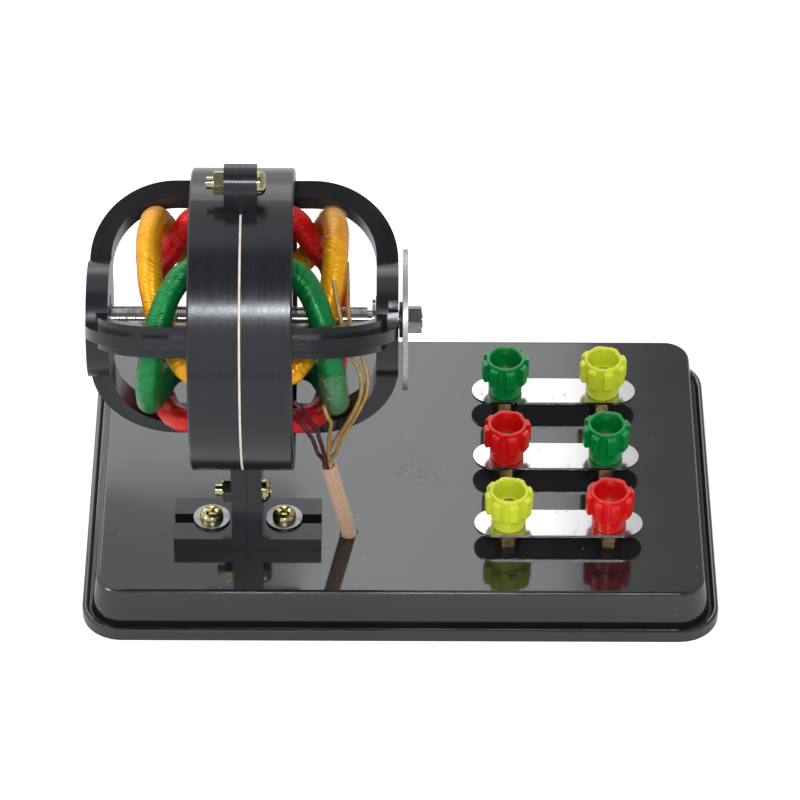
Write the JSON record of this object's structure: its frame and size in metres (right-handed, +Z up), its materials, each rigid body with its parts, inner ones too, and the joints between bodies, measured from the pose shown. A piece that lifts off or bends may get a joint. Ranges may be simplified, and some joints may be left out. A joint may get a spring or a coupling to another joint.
{
  "type": "demonstration electric motor",
  "caption": "Small three-phase induction motor on a moulded tray, with taped coils in an open ring housing, a shaft disc and colour-coded screw terminals joined by link plates.",
  "frame": {"origin": "centre of the tray's underside, on the plane it rests on", "axes": "+X from the motor towards the terminals along the tray and along the rotor's shaft, +Y to the back, +Z up"},
  "size_m": [0.21, 0.1512, 0.1697],
  "materials": {
    "black_plastic": "glossy moulded ABS, faint moulding marks",
    "seam_card": "cream insulating card, cut edge",
    "core_steel": "stacked electrical sheet, lamination lines",
    "yellow_tape": "woven rayon tape wound edge over edge, satin sheen",
    "green_tape": "woven rayon tape wound edge over edge, satin sheen",
    "red_tape": "woven rayon tape wound edge over edge, satin sheen",
    "bronze_bush": "sintered bronze",
    "zinc_screws": "yellow-passivated zinc plate",
    "bright_steel": "bright ground steel",
    "dark_steel": "blackened steel",
    "disc_metal": "sawn sheet, slightly dull",
    "cage_aluminium": "cast aluminium",
    "braid": "woven glass sleeve, pinkish straw",
    "lead_dark": "dark lacquered sleeve",
    "lead_amber": "amber varnished sleeve",
    "terminal_brass": "turned brass, slightly tarnished",
    "link_metal": "bright white-metal strip, fine scratches",
    "cap_green": "glossy moulded plastic",
    "cap_yellow": "glossy moulded plastic, greenish yellow",
    "cap_red": "glossy moulded plastic"
  },
  "bodies": {
    "stand": {"base_tray": "black_plastic", "housing_left": "black_plastic", "housing_right": "black_plastic", "seam_strip": "seam_card", "stator_core": "core_steel", "coil_yellow": "yellow_tape", "coil_green": "green_tape", "coil_red": "red_tape", "bearing_bush_left": "bronze_bush", "bearing_bush_right": "bronze_bush", "clamp_bolt": "zinc_screws", "clamp_nut": "zinc_screws", "neck_bolt": "zinc_screws", "neck_nut": "zinc_screws", "foot_screws": "zinc_screws", "foot_washers": "bright_steel", "foot_nuts": "zinc_screws", "lead_sleeve": "braid", "lead_dark_front": "lead_dark", "lead_dark_back": "lead_dark", "lead_amber_long": "lead_amber", "lead_amber_back": "lead_amber", "lead_amber_short": "lead_amber", "terminal_studs": "terminal_brass", "stud_nuts": "terminal_brass", "spacer_nuts": "terminal_brass", "link_plate_back": "link_metal", "link_plate_middle": "link_metal", "link_plate_front": "link_metal"},
    "rotor": {"shaft": "bright_steel", "rotor_core": "core_steel", "rotor_cage": "cage_aluminium", "thrust_washer": "bright_steel", "disc_washer": "dark_steel", "flag_disc": "disc_metal", "disc_nut": "bright_steel"},
    "rise_back_green": {"insert_back_green": "terminal_brass"},
    "grip_back_green": {"cap_back_green": "cap_green"},
    "rise_back_yellow": {"insert_back_yellow": "terminal_brass"},
    "grip_back_yellow": {"cap_back_yellow": "cap_yellow"},
    "rise_middle_red": {"insert_middle_red": "terminal_brass"},
    "grip_middle_red": {"cap_middle_red": "cap_red"},
    "rise_middle_green": {"insert_middle_green": "terminal_brass"},
    "grip_middle_green": {"cap_middle_green": "cap_green"},
    "rise_front_yellow": {"insert_front_yellow": "terminal_brass"},
    "grip_front_yellow": {"cap_front_yellow": "cap_yellow"},
    "rise_front_red": {"insert_front_red": "terminal_brass"},
    "grip_front_red": {"cap_front_red": "cap_red"}
  },
  "joints": [
    {"name": "rotor_spin", "type": "hinge", "parent": "stand", "child": "rotor", "pos_m": [-0.0505, -0.034, 0.1085], "axis": [1, 0, 0], "continuous": true},
    {"name": "rise_back_green", "type": "slide", "parent": "stand", "child": "rise_back_green", "axis": [0, 0, 1], "range_m": [0, 0.0021]},
    {"name": "turn_back_green", "type": "hinge", "parent": "rise_back_green", "child": "grip_back_green", "pos_m": [0.0356, 0.0306, 0.023], "axis": [0, 0, 1], "range_deg": [0, 1081]},
    {"name": "rise_back_yellow", "type": "slide", "parent": "stand", "child": "rise_back_yellow", "axis": [0, 0, 1], "range_m": [0, 0.0021]},
    {"name": "turn_back_yellow", "type": "hinge", "parent": "rise_back_yellow", "child": "grip_back_yellow", "pos_m": [0.0688, 0.0306, 0.023], "axis": [0, 0, 1], "range_deg": [0, 1081]},
    {"name": "rise_middle_red", "type": "slide", "parent": "stand", "child": "rise_middle_red", "axis": [0, 0, 1], "range_m": [0, 0.0021]},
    {"name": "turn_middle_red", "type": "hinge", "parent": "rise_middle_red", "child": "grip_middle_red", "pos_m": [0.0356, -0.0028, 0.023], "axis": [0, 0, 1], "range_deg": [0, 1081]},
    {"name": "rise_middle_green", "type": "slide", "parent": "stand", "child": "rise_middle_green", "axis": [0, 0, 1], "range_m": [0, 0.0021]},
    {"name": "turn_middle_green", "type": "hinge", "parent": "rise_middle_green", "child": "grip_middle_green", "pos_m": [0.0688, -0.0028, 0.023], "axis": [0, 0, 1], "range_deg": [0, 1081]},
    {"name": "rise_front_yellow", "type": "slide", "parent": "stand", "child": "rise_front_yellow", "axis": [0, 0, 1], "range_m": [0, 0.0021]},
    {"name": "turn_front_yellow", "type": "hinge", "parent": "rise_front_yellow", "child": "grip_front_yellow", "pos_m": [0.0356, -0.0362, 0.023], "axis": [0, 0, 1], "range_deg": [0, 1081]},
    {"name": "rise_front_red", "type": "slide", "parent": "stand", "child": "rise_front_red", "axis": [0, 0, 1], "range_m": [0, 0.0021]},
    {"name": "turn_front_red", "type": "hinge", "parent": "rise_front_red", "child": "grip_front_red", "pos_m": [0.0688, -0.0362, 0.023], "axis": [0, 0, 1], "range_deg": [0, 1081]}
  ],
  "couplings": [
    {"joint": "turn_back_green", "follows": "rise_back_green", "rad_per_m": 8976},
    {"joint": "turn_back_yellow", "follows": "rise_back_yellow", "rad_per_m": 8976},
    {"joint": "turn_middle_red", "follows": "rise_middle_red", "rad_per_m": 8976},
    {"joint": "turn_middle_green", "follows": "rise_middle_green", "rad_per_m": 8976},
    {"joint": "turn_front_yellow", "follows": "rise_front_yellow", "rad_per_m": 8976},
    {"joint": "turn_front_red", "follows": "rise_front_red", "rad_per_m": 8976}
  ]
}
